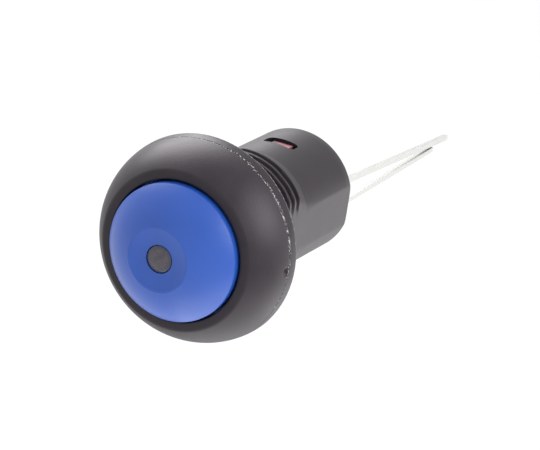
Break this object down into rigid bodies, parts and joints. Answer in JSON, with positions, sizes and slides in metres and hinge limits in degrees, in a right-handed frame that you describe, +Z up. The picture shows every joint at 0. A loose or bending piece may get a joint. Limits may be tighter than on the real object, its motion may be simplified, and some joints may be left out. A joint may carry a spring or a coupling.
{
  "type": "illuminated push button switch",
  "caption": "Sealed panel switch: domed bezel, sprung domed button with a lamp lens, D-shaped threaded bushing, solder terminals and long lamp leads.",
  "frame": {"origin": "centre of the bezel's seating face, where the bushing starts", "axes": "+Y along the bushing, away from the user and out of the rear; the button faces -Y; +X through the bushing's flat; +Z up, through the upper latch window"},
  "size_m": [0.02, 0.0548, 0.02],
  "materials": {
    "bezel_black": "moulded, fine spark texture, satin",
    "bushing_black": "moulded, satin",
    "cap_blue": "moulded, fine satin",
    "lamp_epoxy": "cast, clear, faintly smoked",
    "lamp_chip": "diced crystal",
    "tinned_wire": "tin plated, satin",
    "natural_acetal": "moulded, undyed",
    "black_rubber": "moulded, dull",
    "spring_steel": "drawn wire",
    "contact_brass": "stamped",
    "contact_silver": "riveted, dull silver",
    "block_red": "moulded",
    "base_black": "moulded"
  },
  "bodies": {
    "housing": {"bezel": "bezel_black", "bushing": "bushing_black", "panel_gasket": "black_rubber", "sealing_boot": "black_rubber", "return_spring": "spring_steel", "contact_block": "block_red", "block_cover": "base_black", "terminal_base": "base_black", "terminal_upper": "contact_brass", "terminal_lower": "contact_brass", "fixed_contact_upper": "contact_silver", "fixed_contact_lower": "contact_silver"},
    "button": {"button_cap": "cap_blue", "led_body": "lamp_epoxy", "led_chip": "lamp_chip", "led_lead_anode": "tinned_wire", "led_lead_cathode": "tinned_wire", "led_retainer": "natural_acetal", "plunger": "natural_acetal", "bridge_retainer": "natural_acetal", "contact_spring": "spring_steel"},
    "bridge": {"contact_bridge": "contact_brass", "moving_contact_upper": "contact_silver", "moving_contact_lower": "contact_silver"}
  },
  "joints": [
    {"name": "button_press", "type": "slide", "parent": "housing", "child": "button", "axis": [0, 1, 0], "range_m": [0, 0.0015], "stiffness_N_per_m": 800, "springref_m": -0.003, "deforming": ["return_spring", "sealing_boot", "contact_spring"]},
    {"name": "bridge_travel", "type": "slide", "parent": "housing", "child": "bridge", "axis": [0, 1, 0], "range_m": [0, 0.001]}
  ],
  "couplings": [
    {"joint": "bridge_travel", "follows": "button_press", "ratio": 0.666}
  ]
}
